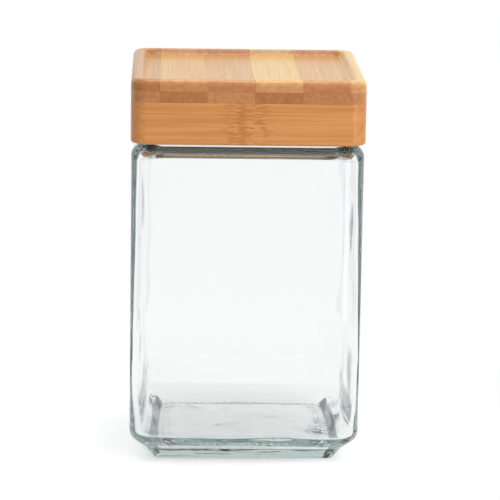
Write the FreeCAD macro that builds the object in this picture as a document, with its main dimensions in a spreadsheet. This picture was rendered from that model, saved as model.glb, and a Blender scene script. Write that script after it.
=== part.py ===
import FreeCAD, Part
import math
import os
import Sketcher

# Square glass food canister with a lift-off bamboo lid. Millimetres, +Z up.
# The origin is the middle of the base, on the surface that the jar stands on, and the front faces -Y.

doc = FreeCAD.newDocument("food_canister")

# Driving dimensions
DIMENSIONS = {
    # glass body
    "jar_width": 108.0,
    "jar_corner": 11.0,
    "wall": 4.5,
    "thin_wall": 3.0,
    "thin_rise": 12.7,
    "thin_top": 60.0,
    "thick_band": 27.4,
    "shoulder_height": 151.9,
    "shoulder_radius": 6.2,
    "inner_shoulder_radius": 3.5,
    # heel and base
    "heel_height": 11.8,
    "heel_inset": 11.85,
    "heel_round": 6.0,
    "seam_height": 6.0,
    "seam_inset": 7.6,
    "seam_corner": 4.5,
    "foot_corner": 2.2,
    "foot_round": 0.6,
    "bearing_ring": 5.6,
    "push_up": 1.15,
    "base_thickness": 7.1,
    "inner_heel_height": 6.2,
    "inner_heel_inset": 9.3,
    "inner_heel_round": 2.8,
    "inner_floor_corner": 4.0,
    # neck
    "neck_height": 13.1,
    "neck_corner": 8.0,
    "neck_wall": 3.8,
    "neck_clearance": 1.0,
    "neck_root_round": 0.7,
    "mouth_root_round": 3.1,
    "rim_round": 1.4,
    # outside of the lid
    "lid_overhang": 0.25,
    "lid_corner": 7.5,
    "lid_gap": 0.6,
    "top_edge_round": 3.0,
    "bottom_edge_round": 1.2,
    "top_ply": 5.4,
    "lower_ply": 5.2,
    "skirt_height": 19.6,
    "skirt_thickness": 7.0,
    # stacking recess
    "rim_width": 4.9,
    "recess_corner": 5.0,
    "recess_depth": 3.0,
    "recess_slope": 2.6,
    "recess_rim_round": 1.6,
    "recess_floor_round": 4.0,
    # narrow bamboo strips at the two edges of the plies
    "left_strip": 13.4,
    "right_strip": 7.8,
    # plug board
    "plug_depth": 10.0,
    "plug_corner": 2.0,
    "plug_lip": 2.6,
    "plug_lip_reach": 0.9,
    # gasket
    "gasket_fit": 0.05,
    "gasket_sleeve": 1.5,
    "gasket_flange": 1.0,
    "flange_inset": 0.4,
    "seat_gap": 0.2,
    "fin_reach": 1.9,
    "fin_thickness": 0.9,
    "fin_pitch": 2.1,
    "fin_clearance": 0.25,
    # spare length of the blocks that part the strips
    "cutter_margin": 2.0,
}
STRIP_COUNT = 6
CORE_COUNT = 5
PLUG_COUNT = 4
FIN_COUNT = 3

sheet = doc.addObject("Spreadsheet::Sheet", "sizes")
for row, (alias, value) in enumerate(DIMENSIONS.items(), start=1):
    sheet.set("A%d" % row, alias)
    sheet.set("B%d" % row, str(value))
    sheet.setAlias("B%d" % row, alias)
doc.recompute()


def size(alias):
    """Expression for one cell of the sheet."""
    return "sizes.%s" % alias


def plus(*terms):
    """Expression for a sum."""
    return "(%s)" % " + ".join(terms)


def less(first, *others):
    """Expression for a value with others taken away from it."""
    return "(%s)" % " - ".join((first,) + others)


def times(factor, term):
    """Expression for a number times a value."""
    return "(%s * (%s))" % (term, factor)


# Levels and half widths that follow from the driving dimensions
BASE = "0 mm"
JAR_HALF = times(0.5, size("jar_width"))
FOOT_HALF = less(JAR_HALF, size("heel_inset"))
PUSH_UP_HALF = less(FOOT_HALF, size("bearing_ring"))
SEAM_HALF = less(JAR_HALF, size("seam_inset"))
CAVITY_HALF = less(JAR_HALF, size("wall"))
CAVITY_CORNER = less(size("jar_corner"), size("wall"))
FLOOR_HALF = less(CAVITY_HALF, size("inner_heel_inset"))
INNER_HEEL_TOP = plus(size("base_thickness"), size("inner_heel_height"))
INNER_SHOULDER = less(size("shoulder_height"), size("wall"))
THIN_HALF = less(JAR_HALF, size("thin_wall"))
THIN_CORNER = less(size("jar_corner"), size("thin_wall"))
THIN_START = plus(INNER_HEEL_TOP, size("thin_rise"))
THICK_START = less(INNER_SHOULDER, size("thick_band"))
RIM_LEVEL = plus(size("shoulder_height"), size("neck_height"))

LID_HALF = plus(JAR_HALF, size("lid_overhang"))
LID_BOTTOM = plus(size("shoulder_height"), size("lid_gap"))
SKIRT_TOP = plus(LID_BOTTOM, size("skirt_height"))
PLY_LINE = plus(SKIRT_TOP, size("lower_ply"))
LID_TOP = plus(PLY_LINE, size("top_ply"))
RECESS_HALF = less(LID_HALF, size("rim_width"))
RECESS_FLOOR = less(LID_TOP, size("recess_depth"))
RECESS_FLOOR_HALF = less(RECESS_HALF, size("recess_slope"))
RECESS_RIM_CORNER = plus(size("recess_corner"), size("recess_slope"))

SKIRT_HALF = less(LID_HALF, size("skirt_thickness"))
SKIRT_CORNER = plus(size("neck_corner"), size("neck_clearance"))
NECK_HALF = less(SKIRT_HALF, size("neck_clearance"))
MOUTH_HALF = less(NECK_HALF, size("neck_wall"))
MOUTH_CORNER = less(size("neck_corner"), size("neck_wall"))

FIN_HALF = less(MOUTH_HALF, size("fin_clearance"))
FIN_CORNER = less(MOUTH_CORNER, size("fin_clearance"))
SLEEVE_HALF = less(FIN_HALF, size("fin_reach"))
SLEEVE_CORNER = less(FIN_CORNER, size("fin_reach"))
BORE_HALF = less(SLEEVE_HALF, size("gasket_sleeve"))
PLUG_HALF = less(BORE_HALF, size("gasket_fit"))
LIP_HALF = plus(PLUG_HALF, size("plug_lip_reach"))
FLANGE_HALF = less(NECK_HALF, size("flange_inset"))
FLANGE_CORNER = less(size("neck_corner"), size("flange_inset"))
FLANGE_LEVEL = plus(RIM_LEVEL, size("seat_gap"))
CORE_LEVEL = plus(FLANGE_LEVEL, size("gasket_flange"))
PLUG_LEVEL = less(CORE_LEVEL, size("plug_depth"))
LIP_LEVEL = plus(PLUG_LEVEL, size("plug_lip"))
SLEEVE_LEVEL = plus(LIP_LEVEL, size("gasket_fit"))


def measure(expression):
    """Value in millimetres of an expression on the sheet."""
    value = sheet.evalExpression(expression)
    return float(getattr(value, "Value", value))


def add_rounded_square(sketch, half_width, corner):
    """Add a centred square with round corners to a sketch, held by its half width and its radius."""
    a = measure(half_width)
    r = measure(corner)
    flat = a - r
    first = sketch.GeometryCount
    corners = [(flat, -flat), (flat, flat), (-flat, flat), (-flat, -flat)]
    sides = [(-flat, -a, flat, -a), (a, -flat, a, flat), (flat, a, -flat, a), (-a, flat, -a, -flat)]
    for x_start, y_start, x_end, y_end in sides:
        start = FreeCAD.Vector(x_start, y_start, 0)
        sketch.addGeometry(Part.LineSegment(start, FreeCAD.Vector(x_end, y_end, 0)))
    for quarter, (x, y) in enumerate(corners):
        circle = Part.Circle(FreeCAD.Vector(x, y, 0), FreeCAD.Vector(0, 0, 1), r)
        start_angle = (quarter - 1) * math.pi / 2
        sketch.addGeometry(Part.ArcOfCircle(circle, start_angle, start_angle + math.pi / 2))
    front, right, back, left = range(first, first + 4)
    arcs = range(first + 4, first + 8)
    for side, after, arc in zip((front, right, back, left), (right, back, left, front), arcs):
        sketch.addConstraint(Sketcher.Constraint("Tangent", side, 2, arc, 1))
        sketch.addConstraint(Sketcher.Constraint("Tangent", arc, 2, after, 1))
    sketch.addConstraint(Sketcher.Constraint("Symmetric", front, 1, front, 2, -2))
    sketch.addConstraint(Sketcher.Constraint("Symmetric", right, 1, right, 2, -1))
    sketch.addConstraint(Sketcher.Constraint("Horizontal", back))
    sketch.addConstraint(Sketcher.Constraint("Vertical", left))
    for arc in arcs[1:]:
        sketch.addConstraint(Sketcher.Constraint("Equal", arcs[0], arc))
    radius = sketch.addConstraint(Sketcher.Constraint("Radius", arcs[0], r))
    across = sketch.addConstraint(Sketcher.Constraint("DistanceX", -1, 1, right, 1, a))
    along = sketch.addConstraint(Sketcher.Constraint("DistanceY", -1, 1, back, 1, a))
    sketch.setExpression("Constraints[%d]" % radius, corner)
    sketch.setExpression("Constraints[%d]" % across, half_width)
    sketch.setExpression("Constraints[%d]" % along, half_width)


def outline(body, name, level, *squares):
    """Sketch of rounded squares on a level of a body."""
    sketch = body.newObject("Sketcher::SketchObject", name)
    planes = [plane for plane in body.Origin.OriginFeatures if plane.Role == "XY_Plane"]
    sketch.AttachmentSupport = [(planes[0], "")]
    sketch.MapMode = "FlatFace"
    sketch.setExpression("AttachmentOffset.Base.z", level)
    for half_width, corner in squares:
        add_rounded_square(sketch, half_width, corner)
    doc.recompute()
    return sketch


def pad(body, name, level, height, *squares):
    """Pad rounded squares upwards from a level."""
    feature = body.newObject("PartDesign::Pad", name)
    feature.Profile = outline(body, name + "_outline", level, *squares)
    feature.setExpression("Length", height)
    doc.recompute()


def pocket(body, name, level, depth, half_width, corner, upwards):
    """Cut a rounded square out of a body, and make sure that it removed something."""
    before = body.Shape.Volume
    feature = body.newObject("PartDesign::Pocket", name)
    feature.Profile = outline(body, name + "_outline", level, (half_width, corner))
    feature.setExpression("Length", depth)
    feature.Reversed = upwards
    doc.recompute()
    if not body.Shape.Volume < before:
        raise RuntimeError("%s cut nothing" % name)


def loft(body, kind, name, *sections):
    """Ruled loft through rounded squares, each given as level, half width and corner."""
    sketches = []
    for number, (level, half_width, corner) in enumerate(sections, start=1):
        sketches.append(outline(body, "%s_outline_%d" % (name, number), level, (half_width, corner)))
    feature = body.newObject("PartDesign::" + kind, name)
    feature.Profile = sketches[0]
    feature.Sections = sketches[1:]
    feature.Ruled = True
    doc.recompute()


def round_edges(body, name, radius, level, half_width):
    """Fillet the loop of edges of one half width that lies on a level."""
    tolerance = 0.01
    z = measure(level)
    reach = measure(half_width)
    base = body.Tip
    edges = []
    for number, edge in enumerate(base.Shape.Edges, start=1):
        box = edge.BoundBox
        edge_reach = max(-box.XMin, box.XMax, -box.YMin, box.YMax)
        if max(abs(box.ZMin - z), abs(box.ZMax - z), abs(edge_reach - reach)) < tolerance:
            edges.append("Edge%d" % number)
    feature = body.newObject("PartDesign::Fillet", name)
    feature.Base = (base, edges)
    feature.setExpression("Radius", radius)
    doc.recompute()


def make_glass_jar():
    """Pressed glass jar: heel, walls that are thinnest below the middle, shoulder and neck, hollow inside."""
    body = doc.addObject("PartDesign::Body", "glass_jar")
    foot = (BASE, FOOT_HALF, size("foot_corner"))
    seam = (size("seam_height"), SEAM_HALF, size("seam_corner"))
    heel_top = (size("heel_height"), JAR_HALF, size("jar_corner"))
    loft(body, "AdditiveLoft", "heel", foot, seam, heel_top)
    wall_height = less(size("shoulder_height"), size("heel_height"))
    pad(body, "walls", size("heel_height"), wall_height, (JAR_HALF, size("jar_corner")))
    round_edges(body, "shoulder", size("shoulder_radius"), size("shoulder_height"), JAR_HALF)
    round_edges(body, "heel_edge", size("heel_round"), size("heel_height"), JAR_HALF)
    round_edges(body, "foot_edge", size("foot_round"), BASE, FOOT_HALF)
    pocket(body, "push_up", BASE, size("push_up"), PUSH_UP_HALF, size("foot_corner"), upwards=True)

    pad(body, "neck", size("shoulder_height"), size("neck_height"), (NECK_HALF, size("neck_corner")))
    round_edges(body, "neck_root", size("neck_root_round"), size("shoulder_height"), NECK_HALF)
    mouth_depth = less(RIM_LEVEL, INNER_SHOULDER)
    pocket(body, "mouth", RIM_LEVEL, mouth_depth, MOUTH_HALF, MOUTH_CORNER, upwards=False)
    round_edges(body, "rim_outside", size("rim_round"), RIM_LEVEL, NECK_HALF)
    round_edges(body, "rim_inside", size("rim_round"), RIM_LEVEL, MOUTH_HALF)

    thick = (CAVITY_HALF, CAVITY_CORNER)
    thin = (THIN_HALF, THIN_CORNER)
    levels = ((INNER_HEEL_TOP, thick), (THIN_START, thin), (size("thin_top"), thin),
              (THICK_START, thick), (INNER_SHOULDER, thick))
    loft(body, "SubtractiveLoft", "cavity", *((level, half, corner) for level, (half, corner) in levels))
    floor = (size("base_thickness"), FLOOR_HALF, size("inner_floor_corner"))
    loft(body, "SubtractiveLoft", "cavity_heel", floor, (INNER_HEEL_TOP, CAVITY_HALF, CAVITY_CORNER))
    round_edges(body, "inner_shoulder", size("inner_shoulder_radius"), INNER_SHOULDER, CAVITY_HALF)
    round_edges(body, "mouth_root", size("mouth_root_round"), INNER_SHOULDER, MOUTH_HALF)
    round_edges(body, "inner_heel", size("inner_heel_round"), INNER_HEEL_TOP, CAVITY_HALF)
    round_edges(body, "inner_floor", size("inner_heel_round"), size("base_thickness"), FLOOR_HALF)
    return body


def make_lid_blank():
    """Outside of the glued-up lid: rounded edges, stacking recess on top, hollow inside the rails."""
    body = doc.addObject("PartDesign::Body", "lid_blank")
    pad(body, "blank", LID_BOTTOM, less(LID_TOP, LID_BOTTOM), (LID_HALF, size("lid_corner")))
    round_edges(body, "top_edge", size("top_edge_round"), LID_TOP, LID_HALF)
    round_edges(body, "bottom_edge", size("bottom_edge_round"), LID_BOTTOM, LID_HALF)
    recess_rim = (LID_TOP, RECESS_HALF, RECESS_RIM_CORNER)
    recess_floor = (RECESS_FLOOR, RECESS_FLOOR_HALF, size("recess_corner"))
    loft(body, "SubtractiveLoft", "recess", recess_rim, recess_floor)
    round_edges(body, "recess_rim", size("recess_rim_round"), LID_TOP, RECESS_HALF)
    round_edges(body, "recess_edge", size("recess_floor_round"), RECESS_FLOOR, RECESS_FLOOR_HALF)
    pocket(body, "hollow", LID_BOTTOM, size("skirt_height"), SKIRT_HALF, SKIRT_CORNER, upwards=True)
    return body


def make_core_blank():
    """Filling board inside the frame of rails."""
    body = doc.addObject("PartDesign::Body", "core_blank")
    pad(body, "board", CORE_LEVEL, less(SKIRT_TOP, CORE_LEVEL), (SKIRT_HALF, SKIRT_CORNER))
    return body


def make_plug_blank():
    """Board that enters the mouth, with a lip under the groove that holds the gasket."""
    body = doc.addObject("PartDesign::Body", "plug_blank")
    pad(body, "lip", PLUG_LEVEL, size("plug_lip"), (LIP_HALF, size("plug_corner")))
    pad(body, "groove_core", LIP_LEVEL, less(CORE_LEVEL, LIP_LEVEL), (PLUG_HALF, size("plug_corner")))
    return body


def make_gasket():
    """Silicone ring: a flange that lies on the rim, a sleeve on the plug and fins for the mouth."""
    body = doc.addObject("PartDesign::Body", "gasket")
    bore = (BORE_HALF, size("plug_corner"))
    sleeve_height = less(CORE_LEVEL, SLEEVE_LEVEL)
    pad(body, "sleeve", SLEEVE_LEVEL, sleeve_height, (SLEEVE_HALF, SLEEVE_CORNER), bore)
    pad(body, "flange", FLANGE_LEVEL, size("gasket_flange"), (FLANGE_HALF, FLANGE_CORNER), bore)
    for step in range(FIN_COUNT):
        level = plus(SLEEVE_LEVEL, times(step, size("fin_pitch")))
        pad(body, "fin_%d" % (step + 1), level, size("fin_thickness"), (FIN_HALF, FIN_CORNER), bore)
    return body


def cut_piece(name, blank, low, high):
    """Part of a blank inside a block from corner low to corner high, both given as expressions."""
    block = doc.addObject("Part::Box", name + "_block")
    for axis, side, start, end in zip("xyz", ("Length", "Width", "Height"), low, high):
        block.setExpression("Placement.Base." + axis, start)
        block.setExpression(side, less(end, start))
    piece = doc.addObject("Part::Common", name)
    piece.Base = blank
    piece.Tool = block
    doc.recompute()
    return piece


def ply_strips():
    """Left and right side of each strip of the plies: a narrow one at each edge and equal ones between."""
    equal_count = STRIP_COUNT - 2
    equal_widths = less(times(2, LID_HALF), size("left_strip"), size("right_strip"))
    first_joint = less(size("left_strip"), LID_HALF)
    sides = [times(-1, plus(LID_HALF, size("cutter_margin")))]
    for step in range(equal_count + 1):
        sides.append(plus(first_joint, times(step / equal_count, equal_widths)))
    sides.append(plus(LID_HALF, size("cutter_margin")))
    return list(zip(sides[:-1], sides[1:]))


def equal_strips(half_width, count):
    """The two sides of each of some equal strips across a board."""
    sides = [times(2 * step / count - 1, half_width) for step in range(count + 1)]
    return list(zip(sides[:-1], sides[1:]))


def make_plies(lid):
    """Two layers of strips that run from front to back."""
    back = plus(LID_HALF, size("cutter_margin"))
    front = times(-1, back)
    above = plus(LID_TOP, size("cutter_margin"))
    pieces = []
    for number, (left, right) in enumerate(ply_strips(), start=1):
        low = (left, front, PLY_LINE)
        pieces.append(cut_piece("top_strip_%d" % number, lid, low, (right, back, above)))
        low = (left, front, SKIRT_TOP)
        pieces.append(cut_piece("lower_strip_%d" % number, lid, low, (right, back, PLY_LINE)))
    return pieces


def make_rails(lid):
    """Four rails of the skirt: the front and back ones run the full width, with the side ones between."""
    outside = plus(LID_HALF, size("cutter_margin"))
    minus_outside = times(-1, outside)
    minus_skirt = times(-1, SKIRT_HALF)
    corner_start = less(SKIRT_HALF, SKIRT_CORNER)
    minus_corner_start = times(-1, corner_start)
    rails = {
        "skirt_front": (minus_outside, minus_outside, outside, minus_skirt),
        "skirt_back": (minus_outside, SKIRT_HALF, outside, outside),
        "skirt_left": (minus_outside, minus_skirt, minus_corner_start, SKIRT_HALF),
        "skirt_right": (corner_start, minus_skirt, outside, SKIRT_HALF),
    }
    pieces = []
    for name, (left, front, right, back) in rails.items():
        pieces.append(cut_piece(name, lid, (left, front, LID_BOTTOM), (right, back, SKIRT_TOP)))
    return pieces


def make_core_strips():
    """Strips of the filling board, which run across those of the plies."""
    core = make_core_blank()
    left = times(-1, SKIRT_HALF)
    pieces = []
    for number, (front, back) in enumerate(equal_strips(SKIRT_HALF, CORE_COUNT), start=1):
        high = (SKIRT_HALF, back, SKIRT_TOP)
        pieces.append(cut_piece("core_strip_%d" % number, core, (left, front, CORE_LEVEL), high))
    return pieces


def make_plug_strips():
    """Strips of the plug board, which run the same way as those of the plies."""
    plug = make_plug_blank()
    front = times(-1, LIP_HALF)
    pieces = []
    for number, (left, right) in enumerate(equal_strips(LIP_HALF, PLUG_COUNT), start=1):
        high = (right, LIP_HALF, CORE_LEVEL)
        pieces.append(cut_piece("plug_strip_%d" % number, plug, (left, front, PLUG_LEVEL), high))
    return pieces


lid_blank = make_lid_blank()
sub_parts = [make_glass_jar(), make_gasket()]
sub_parts += make_plies(lid_blank) + make_rails(lid_blank) + make_core_strips() + make_plug_strips()
doc.recompute()

for item in doc.Objects:
    if "Invalid" in item.State or "Error" in item.State:
        raise RuntimeError("%s did not build: %s" % (item.Label, item.State))
for item in sub_parts:
    shape = item.Shape
    if shape.isNull() or not shape.isValid() or len(shape.Solids) != 1:
        raise RuntimeError("%s is not one valid solid" % item.Label)

os.makedirs("parts", exist_ok=True)
for item in sub_parts:
    item.Shape.exportStep("parts/%s.step" % item.Label)
    box = item.Shape.BoundBox
    print("%-16s %8.1f mm3, z %.2f to %.2f" % (item.Label, item.Shape.Volume, box.ZMin, box.ZMax))
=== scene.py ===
# %% [markdown]
# # A square glass canister with a bamboo lid
# The object is a pressed glass jar, square with round corners, closed by a lid that is glued up from bamboo
# strips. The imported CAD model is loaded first. It fixes where every piece sits, so nothing is fitted by eye:
# each piece below is built in metres, in the same frame, and takes the place of one CAD node.

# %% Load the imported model
import math

import bmesh
import bpy
from mathutils import Matrix, Vector


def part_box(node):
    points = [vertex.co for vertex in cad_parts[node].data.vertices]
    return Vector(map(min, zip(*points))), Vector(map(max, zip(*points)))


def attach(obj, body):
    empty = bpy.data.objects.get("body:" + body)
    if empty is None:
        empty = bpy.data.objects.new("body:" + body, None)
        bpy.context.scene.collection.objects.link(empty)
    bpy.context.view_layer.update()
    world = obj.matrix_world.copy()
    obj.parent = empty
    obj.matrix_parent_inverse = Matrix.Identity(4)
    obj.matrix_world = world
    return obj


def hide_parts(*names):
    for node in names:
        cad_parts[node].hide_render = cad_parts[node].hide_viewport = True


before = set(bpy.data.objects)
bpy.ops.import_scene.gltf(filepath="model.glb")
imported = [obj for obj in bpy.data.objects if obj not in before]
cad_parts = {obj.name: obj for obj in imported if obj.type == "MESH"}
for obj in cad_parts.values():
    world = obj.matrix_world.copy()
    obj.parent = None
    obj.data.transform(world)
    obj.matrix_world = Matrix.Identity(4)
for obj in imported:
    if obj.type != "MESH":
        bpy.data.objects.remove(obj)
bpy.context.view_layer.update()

# %% [markdown]
# ## Sizes
# Most sizes can be read back from the boxes of the CAD nodes: the box of the jar gives its width and the
# level of its rim, and the box of a strip gives its two joints. Radii can't be read from a box, so they are
# named where they are used. Working in millimetres keeps the numbers readable, and one factor turns them into
# metres.

# %% Read the main sizes
MM = 0.001


def span(node, axis):
    """Lowest and highest coordinate of a CAD node along an axis, in millimetres."""
    low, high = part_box(node)
    return low[axis] / MM, high[axis] / MM


X, Y, Z = range(3)
JAR_HALF = span("glass_jar", X)[1]
RIM_LEVEL = span("glass_jar", Z)[1]
LID_HALF = span("skirt_front", X)[1]
LID_BOTTOM, SKIRT_TOP = span("skirt_front", Z)
PLY_LINE, LID_TOP = span("top_strip_3", Z)
CORE_LEVEL = span("core_strip_3", Z)[0]
PLUG_LEVEL = span("plug_strip_2", Z)[0]
print("jar %.1f wide, rim at %.1f, lid from %.1f to %.1f mm" % (2 * JAR_HALF, RIM_LEVEL, LID_BOTTOM, LID_TOP))

# %% [markdown]
# ## A way to write every form
# Jar, lid and gasket are all square with round corners, and they only change in width and corner radius on
# the way up. So one description serves them all: a path of bends, each with a half width, a level, the radius
# of the corner seen from above, and the radius that softens the bend seen from the side. Modelling boxes and
# bevelling them would be quicker, but here the corner radius changes along the path, which a bevel can't do.

# %% Outline of a square with round corners
SIDE_SPANS = 18
CORNER_SPANS = 12


def rounded_square(half, corner):
    """Points of the outline, anticlockwise. They crowd towards the ends of a side, where its corner starts."""
    flat = half - corner
    points = []
    for quarter in range(4):
        turn = Matrix.Rotation(quarter * math.pi / 2, 2)
        for step in range(SIDE_SPANS):
            along = -flat * math.cos(math.pi * step / SIDE_SPANS)
            points.append(turn @ Vector((half, along)))
        for step in range(CORNER_SPANS):
            angle = math.pi / 2 * step / CORNER_SPANS
            points.append(turn @ Vector((flat + corner * math.cos(angle), flat + corner * math.sin(angle))))
    return points


print("an outline has %d points" % len(rounded_square(10, 2)))

# %% [markdown]
# A bend becomes an arc of rings. Smooth shading would spread the turn of the arc over the flats beside it, so
# a support ring just before and just after the arc holds the flats flat, as far as there is room for it.

# %% A path with softened bends
SUPPORT = 0.35
SUPPORT_PER_RADIUS, SUPPORT_PER_RUN = 0.3, 0.4
LEAST_SUPPORT = 0.01
LEAST_TURN = 0.01
SMALL_RADIUS = 0.3
DEGREES_PER_STEP = 9
ANY_LENGTH = 1000.0


def softened(bends, longest=ANY_LENGTH, closed=False):
    """Rings (half, level, corner) along a path of bends (half, level, corner, radius), in millimetres.

    Straight runs get more rings where they are over the longest span.
    """
    places = [Vector(bend[:3]) for bend in bends]
    rings = []
    last = len(bends) - 1
    for number, here in enumerate(places):
        radius = bends[number][3]
        if not closed and number in (0, last):
            rings.append(here)
            continue
        before = places[number - 1]
        after = places[(number + 1) % len(bends)]
        run_in = here - before
        run_out = after - here
        length_in = Vector((run_in.x, run_in.y)).length
        length_out = Vector((run_out.x, run_out.y)).length
        way_in = run_in / length_in
        way_out = run_out / length_out
        turn = Vector((way_in.x, way_in.y)).angle(Vector((way_out.x, way_out.y)))
        if radius == 0 or turn < LEAST_TURN:
            rings.append(here)
            continue
        reach = radius * math.tan(turn / 2)
        room = min(length_in, length_out) - reach
        support = min(SUPPORT, SUPPORT_PER_RADIUS * radius, SUPPORT_PER_RUN * room)
        if support > LEAST_SUPPORT:
            rings.append(here - way_in * (reach + support))
        steps = max(2, round(math.degrees(turn) / DEGREES_PER_STEP)) if radius > SMALL_RADIUS else 2
        for step in range(steps + 1):
            angle = turn * step / steps
            # distances back along the way in and on along the way out that meet at this point of the arc
            passed = radius * math.sin(angle)
            rise = radius * (1 - math.cos(angle))
            on = rise / math.sin(turn)
            back = reach - passed + on * math.cos(turn)
            rings.append(here - way_in * back + way_out * on)
        if support > LEAST_SUPPORT:
            rings.append(here + way_out * (reach + support))
    filled = [rings[0]]
    for ring in rings[1:]:
        gap = ring - filled[-1]
        pieces = math.ceil(Vector((gap.x, gap.y)).length / longest)
        start = filled[-1]
        filled += [start + gap * (piece / pieces) for piece in range(1, pieces + 1)]
    return filled


corner_rings = softened([(5, 0, 1, 0), (9, 0, 1, 2), (9, 9, 1, 0)])[1:-1]
print("a bend of 90 degrees takes %d rings" % len(corner_rings))

# %% Skin the rings
def loft(rings, closed=False):
    """Mesh of quads over a row of rings. A closed row is a frame; an open one is capped at both ends."""
    bm = bmesh.new()
    loops = []
    for half, level, corner in rings:
        outline = rounded_square(half * MM, corner * MM)
        loops.append([bm.verts.new((x, y, level * MM)) for x, y in outline])
    following = loops[1:] + loops[:1] if closed else loops[1:]
    for first, second in zip(loops, following):
        for i in range(len(first)):
            bm.faces.new((first[i - 1], first[i], second[i], second[i - 1]))
    if not closed:
        bm.faces.new(list(reversed(loops[0])))
        bm.faces.new(loops[-1])
    bmesh.ops.recalc_face_normals(bm, faces=bm.faces)
    return bm


sample_block = loft([(5, 0, 1), (5, 9, 1)])
print("a plain block takes %d faces" % len(sample_block.faces))
sample_block.free()

# %% [markdown]
# ## From mesh to piece
# Every finished piece has to say which body it moves with, which CAD node it stands for and which finish it
# takes. One function does that for all of them. Faces are shaded smooth, and only edges that turn by more
# than a set angle stay crisp, which is how a sanded edge and a moulded fillet differ.

# %% Make a piece of the object
CRISP = math.radians(32)


def in_scene(name, data):
    """New object in the scene."""
    made = bpy.data.objects.new(name, data)
    bpy.context.scene.collection.objects.link(made)
    return made


def add_piece(name, mesh, body, node, material):
    """Put a mesh in the scene as the piece that stands for a CAD node."""
    piece = in_scene(name, mesh)
    mesh.materials.clear()
    mesh.materials.append(material)
    mesh.polygons.foreach_set("use_smooth", [True] * len(mesh.polygons))
    mesh.set_sharp_from_angle(angle=CRISP)
    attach(piece, body)
    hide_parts(node)
    return piece


def as_mesh(bm, name):
    """Turn an edited mesh into mesh data."""
    mesh = bpy.data.meshes.new(name)
    bm.to_mesh(mesh)
    bm.free()
    return mesh


# %% [markdown]
# ## Short words for nodes
# Materials and Geometry Nodes are both trees of nodes. Writing one node per line keeps a tree readable, so a
# small function adds a node and fills its inputs: an output socket is linked, and anything else is a value.

# %% Helpers for node trees
def add(tree, kind, inputs=None, **settings):
    """Add a node to a tree, with its settings and inputs."""
    node = tree.nodes.new(kind)
    for key, value in settings.items():
        setattr(node, key, value)
    for key, value in (inputs or {}).items():
        if isinstance(value, bpy.types.NodeSocket):
            tree.links.new(value, node.inputs[key])
        else:
            node.inputs[key].default_value = value
    return node


def maths(tree, operation, *values, clamp=False):
    """Output of a Math node."""
    node = add(tree, "ShaderNodeMath", dict(enumerate(values)), operation=operation, use_clamp=clamp)
    return node.outputs[0]


def vectors(tree, operation, *values):
    """Output of a Vector Math node."""
    return add(tree, "ShaderNodeVectorMath", dict(enumerate(values)), operation=operation).outputs[0]


def mixed(tree, factor, first, second, mode="MIX"):
    """Colour output of a Mix node."""
    inputs = {0: factor, 6: first, 7: second}
    return add(tree, "ShaderNodeMix", inputs, data_type="RGBA", blend_type=mode).outputs[2]


def ramp(tree, value, low, high, start=0.0, end=1.0):
    """A value that goes smoothly from start to end while the input goes from low to high."""
    inputs = {"Value": value, "From Min": low, "From Max": high, "To Min": start, "To Max": end}
    return add(tree, "ShaderNodeMapRange", inputs, interpolation_type="SMOOTHSTEP").outputs[0]


# %% New groups and materials
def new_group(name, kind, inputs, outputs):
    """Empty node group with named sockets. Returns its tree, its input sockets and its output node."""
    tree = bpy.data.node_groups.new(name, kind)
    for label, socket, value in inputs:
        made = tree.interface.new_socket(label, in_out="INPUT", socket_type=socket)
        if value is not None:
            made.default_value = value
    for label, socket in outputs:
        tree.interface.new_socket(label, in_out="OUTPUT", socket_type=socket)
    start = tree.nodes.new("NodeGroupInput")
    end = tree.nodes.new("NodeGroupOutput")
    return tree, start.outputs, end


def new_material(name):
    """Empty material. Returns it with its node tree and its output node."""
    material = bpy.data.materials.new(name)
    material.use_nodes = True
    tree = material.node_tree
    tree.nodes.clear()
    return material, tree, tree.nodes.new("ShaderNodeOutputMaterial")


# %% Colours as a colour picker gives them
def linear(red, green, blue):
    """Colour as a shader takes it, from the three numbers of a colour picker."""
    steps = []
    for value in (red, green, blue):
        value = value / 255
        steps.append(value / 12.92 if value <= 0.04045 else ((value + 0.055) / 1.055) ** 2.4)
    return (*steps, 1.0)


print("middle grey is %.3f in linear light" % linear(128, 128, 128)[0])

# %% [markdown]
# ## Bamboo, as a shader group
# Bamboo has no growth rings. Its pale flesh is full of long dark fibre bundles, which show as fine streaks
# along a strip and as dots on its cut ends. Every culm also has joints, or nodes, where the bundles break up
# into short dashes. A picture of bamboo would need one picture per face. A pattern in three dimensions is
# simpler: cells that are a millimetre wide and several centimetres long give streaks and end dots at once,
# and they meet at the edges. The group is built once, and every strip uses it with its own place, tones and
# seed.

# %% Stretched noise
NOISE, CELLS = "ShaderNodeTexNoise", "ShaderNodeTexVoronoi"


def stretched(tree, kind, place, size, output, **inputs):
    """Noise or cells of a size in millimetres: length along the fibres, and width across them."""
    long, wide = size
    cells = vectors(tree, "MULTIPLY", place, (1 / long, 1 / wide, 1 / wide))
    return add(tree, kind, {"Vector": cells, "Scale": 1.0, **inputs}).outputs[output]


def swing(tree, place, size, detail):
    """Stretched noise that goes to both sides of zero."""
    return maths(tree, "SUBTRACT", stretched(tree, NOISE, place, size, "Fac", Detail=detail), 0.5)


def wander(tree, place, size, reach):
    """Shift across the fibres, up to about half the reach to each side."""
    way = stretched(tree, NOISE, place, size, "Color", Detail=1.0)
    way = vectors(tree, "SUBTRACT", way, (0.5, 0.5, 0.5))
    return vectors(tree, "MULTIPLY", way, (0.0, reach, reach))


# %% [markdown]
# A node is a band across the strip with a ragged edge and a darker ring in it. Fibres drift slowly
# everywhere, and at a node they kink as well. All lengths are in millimetres, with the fibres along X and the
# node at X = 0.

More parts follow.
